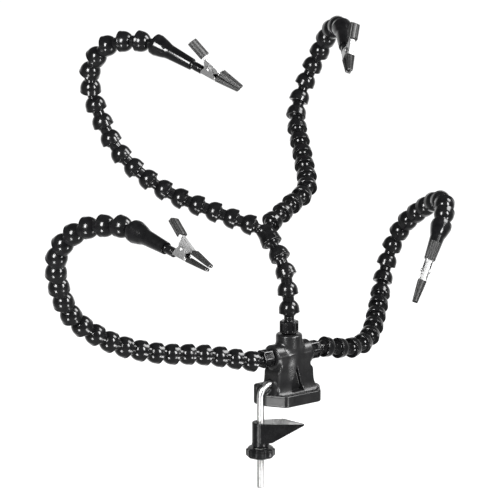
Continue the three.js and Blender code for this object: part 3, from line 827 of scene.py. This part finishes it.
def rod_section(z):
    """The rod's outline at a height: a point of the thread's ridge goes round once in each pitch."""
    angles = np.linspace(0, 2 * math.pi, ROD_SIDES, endpoint=False)
    depth = THREAD_DEPTH * min(max((THREAD_TOP - z) / THREAD_PITCH, 0), 1)
    phase = (z / THREAD_PITCH - angles / (2 * math.pi)) % 1
    ridge = np.clip(1.6 * (1 - np.abs(2 * phase - 1)) - 0.3, 0, 1)
    chamfer = min(1.0, ROD_POINT + (1 - ROD_POINT) * (z - ROD_BOTTOM) / ROD_POINT_LENGTH)
    radius = (ROD_R - depth * (1 - ridge)) * chamfer
    return np.stack([radius * np.cos(angles), radius * np.sin(angles)], 1)


def rod():
    """The bent rod: a fine helical thread on its lower leg and a smooth upper leg."""
    bend_x, bend_z = ROD_X + ROD_BEND, ROD_PORT_Z - ROD_BEND
    bend = [
        (bend_x - ROD_BEND * math.cos(a), 0, bend_z + ROD_BEND * math.sin(a))
        for a in np.linspace(0, math.pi / 2, 24)
    ]
    threaded = np.arange(ROD_BOTTOM, THREAD_TOP, THREAD_PITCH / 8)
    smooth = np.linspace(THREAD_TOP, bend_z, 12)[:-1]
    path = [(ROD_X, 0, z) for z in (*threaded, *smooth)] + bend + [(ROD_END_X, 0, ROD_PORT_Z)]
    sections = [rod_section(z) for _, _, z in path]
    piece("rod", [(np.eye(4), swept(path, sections))], "zinc_steel", "base", "clamp_rod")


TEETH = 2.4  # from one row of teeth to the next
PLATE = 0.9
JAW_NOSE = 1.4  # the blade's thickness at its tip


def jaw_plan(x, y):
    """The gripping face's outline: straight on the near side, with a wide corner on the far side."""
    wing_x, wing_y = JAW_WING
    far = half_plane(x, y, JAW_WING, (JAW_HUB_R - wing_y, wing_x))
    end = half_plane(x, y, JAW_WING, (17.1, JAW_LENGTH - wing_x))
    near = common(-JAW_HUB_R - y, slab(x, 0, JAW_LENGTH), 0.6)
    return common(common(far, end, 1.2), near, 0.6)


def jaw_field(points):
    """A blade under a wide flat gripping face with cross-cut teeth, round a tall hub."""
    x, y, z = points.T
    radius = np.hypot(x, y)
    hub = common(radius - JAW_HUB_R, slab(z, -JAW_HUB_HEIGHT, 0), 0.8)
    collar = common(radius - JAW_HUB_R - 0.3, slab(z, -JAW_HUB_HEIGHT, 1.6 - JAW_HUB_HEIGHT), 0.4)
    under_slope = (JAW_DEPTH - JAW_NOSE, JAW_LENGTH - 10)
    under = half_plane(x, -z, (JAW_LENGTH, JAW_NOSE), under_slope)
    wedge = common(common(jaw_plan(x, y), under, 0.6), slab(z, -JAW_DEPTH, 0), 0.5)
    body = union(union(hub, wedge, 0.8), collar, 0.5)
    seat = common(jaw_plan(x, y) + 0.4, -PLATE - z)
    return cut(cut(body, seat, 0.1), radius - ROD_R - ROD_PLAY, 0.5)


def jaw_plate_field(points):
    """The serrated steel plate let into the jaw's gripping face."""
    x, y, z = points.T
    across = 0.5 - np.abs(np.mod((x + y) / TEETH, 1) - 0.5)
    along = 0.5 - np.abs(np.mod((x - y) / TEETH, 1) - 0.5)
    plate = common(jaw_plan(x, y) + 0.5, slab(z, -PLATE, 0), 0.3)
    smooth = common(np.hypot(x, y) - JAW_HUB_R - 4, plate)
    valley = common(1.6 * np.minimum(across, along) - 0.4, -0.5 - z)
    plate = union(cut(plate, valley, 0.1), smooth)
    return cut(plate, np.hypot(x, y) - ROD_R - ROD_PLAY)


def washer_shell():
    hole_r, outer_r = ROD_R + 0.45, 7.0
    return turned(softened([
        (hole_r, 0, 0.15),
        (outer_r, 0, 0.3),
        (outer_r, WASHER_HEIGHT, 0.3),
        (hole_r, WASHER_HEIGHT, 0.15),
    ]))


def knob_flute(radius, angles):
    """The grip's radius, drawn in between its lobes; the flange and the bore stay round."""
    depth = 1.1 * np.clip((radius - 10.5) / 2, 0, 1)
    return radius - depth * (0.5 - 0.5 * np.cos(KNOB_LOBES * angles)) ** 0.8


def knob_shell():
    """Lobed grip with a thin flange at its top and a chamfered lower edge."""
    seat_r, bore_r = 6.7, 4.0
    seat_z = -INSERT_HEIGHT - GAP
    path = softened([
        (seat_r, seat_z, 0.2),
        (seat_r, 0, 0.3),
        (KNOB_R - 1.6, 0, 0.4),
        (KNOB_R - 1.5, -0.9, 0.2),
        (KNOB_R, -1.5, 0.4),
        (KNOB_R, -KNOB_HEIGHT + 1.5, 0.6),
        (KNOB_R - 1.6, -KNOB_HEIGHT, 0.5),
        (bore_r, -KNOB_HEIGHT, 0.3),
        (bore_r, seat_z, 0.2),
    ])
    return turned(path, KNOB_SIDES, flute=knob_flute)


def insert_field(points):
    """The threaded metal nut that the knob is moulded round."""
    x, y, z = points.T
    nut = common(hexagon(x, y, 10.2), slab(z, -INSERT_HEIGHT, 0), 0.6)
    nut = common(nut, np.hypot(x, y) - 6, 0.4)
    return cut(nut, np.hypot(x, y) - ROD_R - 0.25, 0.5)


def clamp():
    """The jaw with its plate, the washer under it, and the knob with its insert."""
    place = shift(ROD_X, 0, JAW_TOP)
    turned_jaw = place @ turn_z(JAW_HEADING)
    jaw = surface(jaw_field, (-9, -9, -22), (40, 12.5, 1), FINE * 0.8)
    piece("jaw", [(turned_jaw, jaw)], "jaw_plastic", "jaw", "clamp_jaw")
    plate = surface(jaw_plate_field, (-1, -9, -1.5), (40, 12.5, 0.8), FINE * 0.6)
    piece("jaw_plate", [(turned_jaw, plate)], "zinc_steel", "jaw")
    washer_z = -JAW_HUB_HEIGHT - GAP - WASHER_HEIGHT
    under_jaw = place @ shift(z=washer_z)
    piece("washer", [(under_jaw, washer_shell())], "jaw_plastic", "clamp_carriage", "jaw_washer")
    top = place @ shift(z=washer_z - GAP)
    piece("knob", [(top, knob_shell())], "jaw_plastic", "knob", "clamp_knob")
    insert = surface(insert_field, (-7.5, -7.5, -7), (7.5, 7.5, 1), FINE * 0.8)
    piece("knob_insert", [(top, insert)], "zinc_steel", "knob", "knob_nut")

# ---------------- nozzle and clip

def nozzle_shell():
    """A cup and dome that run out into a long tapered spout."""
    plug_hole_r = 4.0
    plug_hole_z = NOZZLE_LENGTH - 12.3
    path = [
        *rim(),
        (LINK_R + 0.2, 1.0, 0.2),
        (LINK_R - 0.1, 2.2, 0.4),
        (7.8, 8.6, 2.5),
        (6.5, 12.6, 2.0),
        (5.1, NOZZLE_LENGTH, 0.4),
        (plug_hole_r, NOZZLE_LENGTH, 0.4),
        (plug_hole_r, plug_hole_z, 0.3),
        (BORE_R, plug_hole_z, 0.3),
        *socket(),
    ]
    return turned(softened(path))


def plug_field(points):
    """The plug's barrel: two rolled crimps, a cross slot at its end and a slot for the clip's tongue."""
    x, y, z = points.T
    radius = np.hypot(y, z)
    crimps = 0.35 * np.exp(-(((x - 2.2) / 0.6) ** 2)) + 0.25 * np.exp(-(((x - 8.6) / 0.5) ** 2))
    barrel = common(radius - 3.75 + crimps, slab(x, -12, 10.7), 0.5)
    tongue = common(np.abs(z + 1.0) - 0.7, np.maximum(np.abs(y) - 3, 4 - x))
    slit = common(np.abs(y) - 0.55, 6.2 - x)
    barrel = cut(barrel, tongue, 0.2)
    barrel = cut(barrel, common(slit, -0.2 - z), 0.2)
    hollow = common(radius - 2.2, 8.4 - x, 0.3)
    return cut(barrel, hollow, 0.3)


def bent_sheet(half, back, depth, corner):
    """One face of the channel's outline: down one ear, along the back and up the other ear."""
    path = [(-half, depth), (-half, back, corner), (half, back, corner), (half, depth)]
    return softened(path, closed=False)


def channel(stations, ears, step=0.45, corner=0.9):
    """Sheet steel pressed into a channel.

    Stations are (t, back, half width, ear depth); ears is +1 where the ears stand towards +n and -1
    where they hang.
    """
    table = np.array(stations, float)
    ts = np.arange(table[0, 0], table[-1, 0] + step / 2, step)
    backs, halves, depths = (np.interp(ts, table[:, 0], table[:, k]) for k in (1, 2, 3))
    blur = np.ones(3) / 3
    halves, depths = (np.convolve(np.pad(v, 1, mode="edge"), blur, "valid") for v in (halves, depths))
    points = []
    for t, back, half, depth in zip(ts, backs, halves, depths):
        depth = max(depth, SHEET + 0.1)
        outer = bent_sheet(half, 0, depth, corner)
        inner = bent_sheet(half - SHEET, SHEET, depth, max(corner - SHEET, 0.15))
        loop = np.array([*outer, *inner[::-1]])
        points.append(np.stack([np.full(len(loop), t), loop[:, 0], back + ears * loop[:, 1]], 1))
    columns = len(points[0])
    strip = columns // 2
    faces = grid_faces(len(points), columns)
    if ears < 0:
        faces = [face[::-1] for face in faces]
    last = (len(points) - 1) * columns
    for i in range(strip - 1):
        cap = [i, i + 1, columns - 2 - i, columns - 1 - i]
        faces.append(cap[::-1] if ears > 0 else cap)
        cap = [last + k for k in cap]
        faces.append(cap if ears > 0 else cap[::-1])
    return np.concatenate(points), faces


FIXED_STATIONS = [
    (4.3, -1.4, 2.7, 0.9), (10.4, -1.4, 2.7, 0.9), (11.6, -1.4, 3.5, 2.4), (13.4, -1.4, 3.5, 5.4),
    (15.6, -1.4, 3.5, 8.9), (17.2, -1.4, 3.5, 9.8), (18.8, -1.4, 3.5, 10.1), (20.4, -1.4, 3.5, 9.8),
    (22.2, -1.4, 3.5, 8.8), (24.6, -1.4, 3.5, 5.8), (26.2, -1.3, 3.4, 3.0), (27.4, -1.1, 2.9, 2.4),
    (49.5, -0.4, 1.8, 1.5),
]
MOVING_STATIONS = [
    (-1.9, 23.0, 3.3, 1.0), (12.0, 16.1, 3.4, 1.2), (13.0, 15.7, 2.5, 4.2), (14.4, 15.1, 2.3, 9.0),
    (16.4, 14.4, 2.3, 10.6), (18.8, 13.5, 2.3, 10.5), (21.2, 12.6, 2.3, 9.6), (24.6, 11.3, 2.3, 7.0),
    (28.4, 9.9, 2.4, 3.4), (30.2, 9.2, 2.8, 2.4), (51.6, 5.2, 1.7, 1.6),
]


def rivet_shell():
    """Two domed heads on a shank through both halves' ears, along the w axis."""
    head, shank, face, crown = 1.9, 1.2, 3.6, 4.6
    half = [
        (shank, face - 0.3),
        (shank, face, 0.05),
        (head, face, 0.15),
        (head * 0.92, face + 0.35, 0.3),
        (head * 0.55, crown - 0.12, 0.4),
        (0, crown),
    ]
    path = [(r, -z, *rest) for r, z, *rest in half[::-1]] + half
    points, faces = turned(softened(path, closed=False), 32, closed=False)
    return moved(frame_at((PIVOT[0], 0, PIVOT[1]), Y_AXIS), points), faces


def spring_path():
    """Coil round the rivet with one leg down to the fixed half's floor."""
    radius, turns, width, count = 2.15, 3.5, 2.0, 90
    t, n = PIVOT
    angles = np.linspace(0, turns * 2 * math.pi, count) + math.pi
    coil = [
        (t + radius * math.cos(a), -width / 2 + width * i / (count - 1), n + radius * math.sin(a))
        for i, a in enumerate(angles)
    ]
    leg = np.linspace((14.5, -width / 2, 0.1), (t - radius, -width / 2, n - 0.9), 6)
    return [*leg, *coil]


def spring_leg_path():
    """The spring's other leg, which lies against the moving half's back."""
    return np.linspace((PIVOT[0] + 1.2, 1.0, PIVOT[1] + 2.0), (15.9, 1.0, 13.4), 8)


SLEEVE_RIBS = 5
SLEEVE_RIB_DEPTH = 0.55
SLEEVE_SIDES = 112
SLEEVE_LIP = [(0.0, 0.90), (0.12, 0.955), (0.35, 1.0)]  # how the end's edge rounds off: (z, share)
SLEEVE_SQUARENESS = 0.42  # 1 makes an ellipse, 0 a plain oblong


def sleeve_section(wide, thick, rib_depth):
    """A rounded oblong with ribs across its two broad faces."""
    angle = np.linspace(0, 2 * math.pi, SLEEVE_SIDES, endpoint=False)
    a, b = np.cos(angle), np.sin(angle)
    a = np.sign(a) * np.abs(a) ** SLEEVE_SQUARENESS * wide / 2
    b = np.sign(b) * np.abs(b) ** SLEEVE_SQUARENESS * thick / 2
    across = np.clip(a / (wide / 2), -1, 1)
    broad = np.clip((np.abs(b) / (thick / 2) - 0.6) / 0.3, 0, 1)
    groove = 0.5 - 0.5 * np.cos(math.pi * SLEEVE_RIBS * (across + 1))
    b = b - np.sign(b) * broad * rib_depth * (1 - groove)
    along = np.clip(b / (thick / 2), -1, 1)
    narrow = np.clip((np.abs(a) / (wide / 2) - 0.8) / 0.15, 0, 1)
    a = a - np.sign(a) * narrow * rib_depth * (0.5 + 0.5 * np.cos(math.pi * 2 * along))
    return np.stack([a, b], 1)


def sleeve_shell(start, tilt, length, wide, thick, taper, hole):
    """A moulded slip-on grip: ribbed outside, smooth inside, open at both ends with rounded lips."""
    outer = sleeve_section(wide, thick, SLEEVE_RIB_DEPTH)
    inner = sleeve_section(*hole, 0.0)
    stations = [
        *SLEEVE_LIP,
        *((z, 1.0) for z in np.linspace(0.8, length - 0.8, 12)),
        *((length - z, k) for z, k in reversed(SLEEVE_LIP)),
    ]

    def ring(section, z):
        narrowed = section * (1 - (1 - taper) * z / length)
        return np.column_stack([narrowed, np.full(len(section), z)])

    rings = [ring(outer * k, z) for z, k in stations] + [ring(inner, z) for z, _ in reversed(stations)]
    faces = grid_faces(len(rings), len(outer), wrap_rows=True)
    along = (math.cos(tilt), 0, math.sin(tilt))
    place = frame_at((start[0], 0, start[1]), along, -Y_AXIS)
    return moved(place, np.concatenate(rings)), faces


FIXED_JAW = dict(
    start=(27.5, 0.5), tilt=0.0, length=22.6, wide=8, thick=4.2, taper=0.62, hole=(6.4, 3.0)
)
MOVING_JAW = dict(FIXED_JAW, start=(31, 7.8), tilt=math.radians(-9.5), length=21.6)
HANDLE = dict(
    start=(12.2, 15.2), tilt=math.radians(153), length=17, wide=9.2, thick=5, taper=1.0,
    hole=(7.4, 2.6),
)


def clip(name, place):
    """The pieces past the nozzle; in the clip's frame, place, x runs along it and z to its handle."""
    fixed, moving = f"{name}_clip", f"{name}_lever"
    rows = [
        ("plug", CLIP_PLUG, "hose_plastic", fixed, "clip_plug"),
        ("fixed_plate", FIXED_PLATE, "clip_steel", fixed, "fixed_half"),
        ("moving_plate", MOVING_PLATE, "clip_steel", moving, "moving_half"),
        ("rivet", RIVET, "clip_steel", fixed, "clip_rivet"),
        ("spring", SPRING, "clip_steel", fixed, "clip_spring"),
        ("spring_leg", SPRING_LEG, "clip_steel", moving, None),
        ("handle_grip", HANDLE_GRIP, "sleeve_rubber", moving, "handle_sleeve"),
        ("fixed_grip", FIXED_GRIP, "sleeve_rubber", fixed, "fixed_jaw_sleeve"),
        ("moving_grip", MOVING_GRIP, "sleeve_rubber", moving, "moving_jaw_sleeve"),
    ]
    for part, shell, slot, body, node in rows:
        nodes = [f"{name}_{node}"] if node else []
        piece(f"{name}_{part}", [(place, shell)], slot, body, *nodes)


CLIP_PLUG = surface(plug_field, (-13, -4.6, -4.6), (11.6, 4.6, 4.6), FINE * 0.6)
FIXED_PLATE = channel(FIXED_STATIONS, 1)
MOVING_PLATE = channel(MOVING_STATIONS, -1)
RIVET = rivet_shell()
SPRING = wire(spring_path())
SPRING_LEG = wire(spring_leg_path())
HANDLE_GRIP = sleeve_shell(**HANDLE)
FIXED_GRIP = sleeve_shell(**FIXED_JAW)
MOVING_GRIP = sleeve_shell(**MOVING_JAW)
NOZZLE = nozzle_shell()

# ---------------- arms

# Up to the splitter these are rounded from a fit like that of the arms' guide points, below, and so is
# SPLITTER_AXIS. The last point carries the curve on.
STEM_GUIDE = [
    (0, 0, HUB_TOP + FITTING_BALL), (0, 5, 115), (-1, 13, 129), (-1.5, 25, 140.5), (-1.5, 40, 150),
]
STEM_LINKS = 4
STEM = ball_centres(STEM_GUIDE, STEM_LINKS)
SPLITTER = frame_at(STEM[-1], SPLITTER_AXIS, X_AXIS)


def port_ball(name):
    return moved(PORTS[name], (0, 0, FITTING_BALL))


# Each arm: its name, its first ball, its guide points (the nozzle aims at the last), the links in each
# stretch, and the side that the clip's handle is on. The guide points are picked from the result of a
# least-squares fit to ball places marked in the photo, in whole millimetres; the last four of the
# right arm were changed afterwards.
ARMS = [
    (
        "upper_left", moved(SPLITTER, branch_ball(-1)),
        [(-37, 59, 165), (-73, 87, 185), (-102, 112, 217), (-118, 127, 261), (-125, 123, 292),
         (-120, 102, 316), (-104, 74, 321), (-96, 60, 318), (-83, 27, 304)],
        (6, 6, 6), (-0.2, -0.45, 0.87),
    ),
    (
        "lower_left", port_ball("left"),
        [(-88, 5, 54), (-137, 8, 63), (-182, 10, 79), (-222, 9, 108), (-244, -3, 149),
         (-249, -20, 177), (-242, -46, 195), (-230, -76, 200), (-226, -92, 198), (-223, -129, 191)],
        (6, 6, 5, 5), (0.3, -0.15, 0.95),
    ),
    (
        "right", port_ball("right"),
        [(73, 2, 36), (103, 13, 40), (138, 43, 58), (158, 61, 76), (171, 64, 105),
         (175, 47, 132), (171, 6, 157), (159, -23, 162), (141, -42, 152), (115, -58, 129)],
        (7, 7, 6), (-0.45, -0.68, 0.5),
    ),
    (
        "upper_right", moved(SPLITTER, branch_ball(1)),
        [(39, 47, 165), (67, 61, 175), (90, 97, 197), (109, 131, 227), (125, 139, 254),
         (135, 130, 284), (133, 109, 308), (121, 79, 314), (100, 49, 302)],
        (6, 6, 6), (0.15, -0.45, 0.87),
    ),
]


def arm(name, start, guide, stretches, handle_side):
    centres = ball_centres([start, *guide], sum(stretches))
    first = 0
    for number, count in enumerate(stretches, 1):
        body, node = f"{name}_{number}", f"{name}_hose_{number}"
        hose(f"{name}_links_{number}", centres, first, count, body, node)
        first += count
    place = frame_at(centres[-1], guide[-1] - centres[-1], handle_side)
    body, node = f"{name}_nozzle_body", f"{name}_nozzle"
    piece(f"{name}_spout", [(place, NOZZLE)], "hose_plastic", body, node)
    along_nozzle = np.eye(4)
    along_nozzle[:3, :3] = np.array([Z_AXIS, -Y_AXIS, X_AXIS]).T
    clip(name, place @ shift(z=NOZZLE_LENGTH) @ along_nozzle)


base()
fittings()
rod()
clamp()
hose("stem_links", STEM, 0, STEM_LINKS, "stem", "stem_hose")
splitter(SPLITTER)
for row in ARMS:
    arm(*row)

# ---------------- stage, lights and camera

VIEW_HEADING = (0.6, 0.8)  # the camera looks this way over the floor
VIEW_DROP = math.radians(12.6)
VIEW_DISTANCE = 2300.0
PICTURE_CENTRE = (-34.5, 133.0)  # right of and above the origin, across the view
SENSOR = 36.0
LENS = 186.3
SKY = 0.12
BACKDROP = 1.3
TABLE_GLOW = 0.55
FLOOR_HALF = 9.0  # metres
FLOOR_BELOW = 0.001  # metres below the rod's end
FLOOR_GREY = 0.08  # what it shows of the lights; the rest of its white is its own glow
LIGHT_DISTANCE = 1300.0
LIGHT_CENTRE = (0, 0, 150)
# Each light: its name, azimuth and elevation in degrees, size in metres, and power in watts.
SOFTBOXES = [
    ("left_softbox", -33, 24, (0.36, 0.6), 46),
    ("right_softbox", 48, 24, (0.32, 0.6), 40),
    ("left_low_glare", -33, -31, (0.26, 0.34), 15),
    ("right_low_glare", 48, -31, (0.22, 0.34), 12),
    ("overhead_softbox", 95, 45, (0.6, 0.6), 32),
]


def view_axes():
    """The camera's right, up and forward directions."""
    forward = np.array([*(math.cos(VIEW_DROP) * h for h in VIEW_HEADING), -math.sin(VIEW_DROP)])
    right = np.array([VIEW_HEADING[1], -VIEW_HEADING[0], 0])
    return right, np.cross(right, forward), forward


def aim(obj, eye, right, up, forward):
    """Stands a camera or light at `eye`, in millimetres, facing forward."""
    matrix = np.eye(4)
    matrix[:3, :3] = np.array([right, up, -np.asarray(forward)]).T
    matrix[:3, 3] = np.asarray(eye) * MM
    obj.matrix_world = Matrix(matrix)


def camera():
    right, up, forward = view_axes()
    data = bpy.data.cameras.new("camera")
    data.lens = LENS
    data.sensor_width = SENSOR
    data.clip_end = 50
    made = added("camera", data)
    eye = -VIEW_DISTANCE * forward + PICTURE_CENTRE[0] * right + PICTURE_CENTRE[1] * up
    aim(made, eye, right, up, forward)
    bpy.context.scene.camera = made


def softbox(name, azimuth, elevation, size, power):
    """An area light facing the object; azimuth is measured to the right of the camera's own side."""
    azimuth, elevation = math.radians(azimuth), math.radians(elevation)
    right, _, forward = view_axes()
    back = -unit((forward[0], forward[1], 0))
    side = back * math.cos(azimuth) + right * math.sin(azimuth)
    direction = side * math.cos(elevation) + Z_AXIS * math.sin(elevation)
    data = bpy.data.lights.new(name, "AREA")
    data.shape = "RECTANGLE"
    data.size, data.size_y = size
    data.energy = power
    made = added(name, data)
    forward = -direction
    right = unit(np.cross(forward, Z_AXIS))
    eye = np.asarray(LIGHT_CENTRE) + direction * LIGHT_DISTANCE
    aim(made, eye, right, np.cross(right, forward), forward)
    made.visible_camera = False


def floor():
    """A white floor that glows by itself. Reflections leave it out; the low lights pass through it."""
    z = ROD_BOTTOM * MM - FLOOR_BELOW
    corners = [(-1, -1), (1, -1), (1, 1), (-1, 1)]
    mesh = bpy.data.meshes.new("floor")
    mesh.from_pydata([(a * FLOOR_HALF, b * FLOOR_HALF, z) for a, b in corners], [], [(0, 1, 2, 3)])
    material = bpy.data.materials.new("floor")
    material.use_nodes = True
    shader = material.node_tree.nodes["Principled BSDF"].inputs
    shader["Base Color"].default_value = (FLOOR_GREY, FLOOR_GREY, FLOOR_GREY, 1)
    shader["Roughness"].default_value = 0.9
    shader["Emission Color"].default_value = (1, 1, 1, 1)
    shader["Emission Strength"].default_value = 1.0
    mesh.materials.append(material)
    made = added("floor", mesh)
    made.visible_glossy = False
    made.visible_shadow = False


def sky():
    """A dim studio with a bright low backdrop on the side that the camera looks towards.

    The soft glow from below stands for the white floor in reflections.
    """
    world = bpy.data.worlds.new("studio")
    bpy.context.scene.world = world
    world.use_nodes = True
    tree = world.node_tree
    direction = tree.nodes.new("ShaderNodeTexCoord").outputs["Generated"]

    def spread(axis, dark, bright, low, high):
        """A strength that goes from low to high between two slants of the view to the axis."""
        along = tree.nodes.new("ShaderNodeVectorMath")
        along.operation = "DOT_PRODUCT"
        along.inputs[1].default_value = axis
        tree.links.new(direction, along.inputs[0])
        return map_range(tree, along.outputs["Value"], dark, bright, low, high, "SMOOTHSTEP")

    def combined(operation, a, b):
        node = tree.nodes.new("ShaderNodeMath")
        node.operation = operation
        tree.links.new(a, node.inputs[0])
        tree.links.new(b, node.inputs[1])
        return node.outputs[0]

    far_side = spread((*VIEW_HEADING, 0), 0.1, 0.8, 0, 1)
    low_band = spread(Z_AXIS, 0.5, 0.15, 0, BACKDROP - SKY)
    from_table = spread(Z_AXIS, 0.1, -0.7, SKY, TABLE_GLOW)
    strength = combined("ADD", combined("MULTIPLY", far_side, low_band), from_table)
    tree.links.new(strength, tree.nodes["Background"].inputs["Strength"])
    tree.nodes["Background"].inputs["Color"].default_value = (1, 1, 1, 1)


camera()
floor()
sky()
for row in SOFTBOXES:
    softbox(*row)
bpy.context.scene.view_settings.view_transform = "Standard"
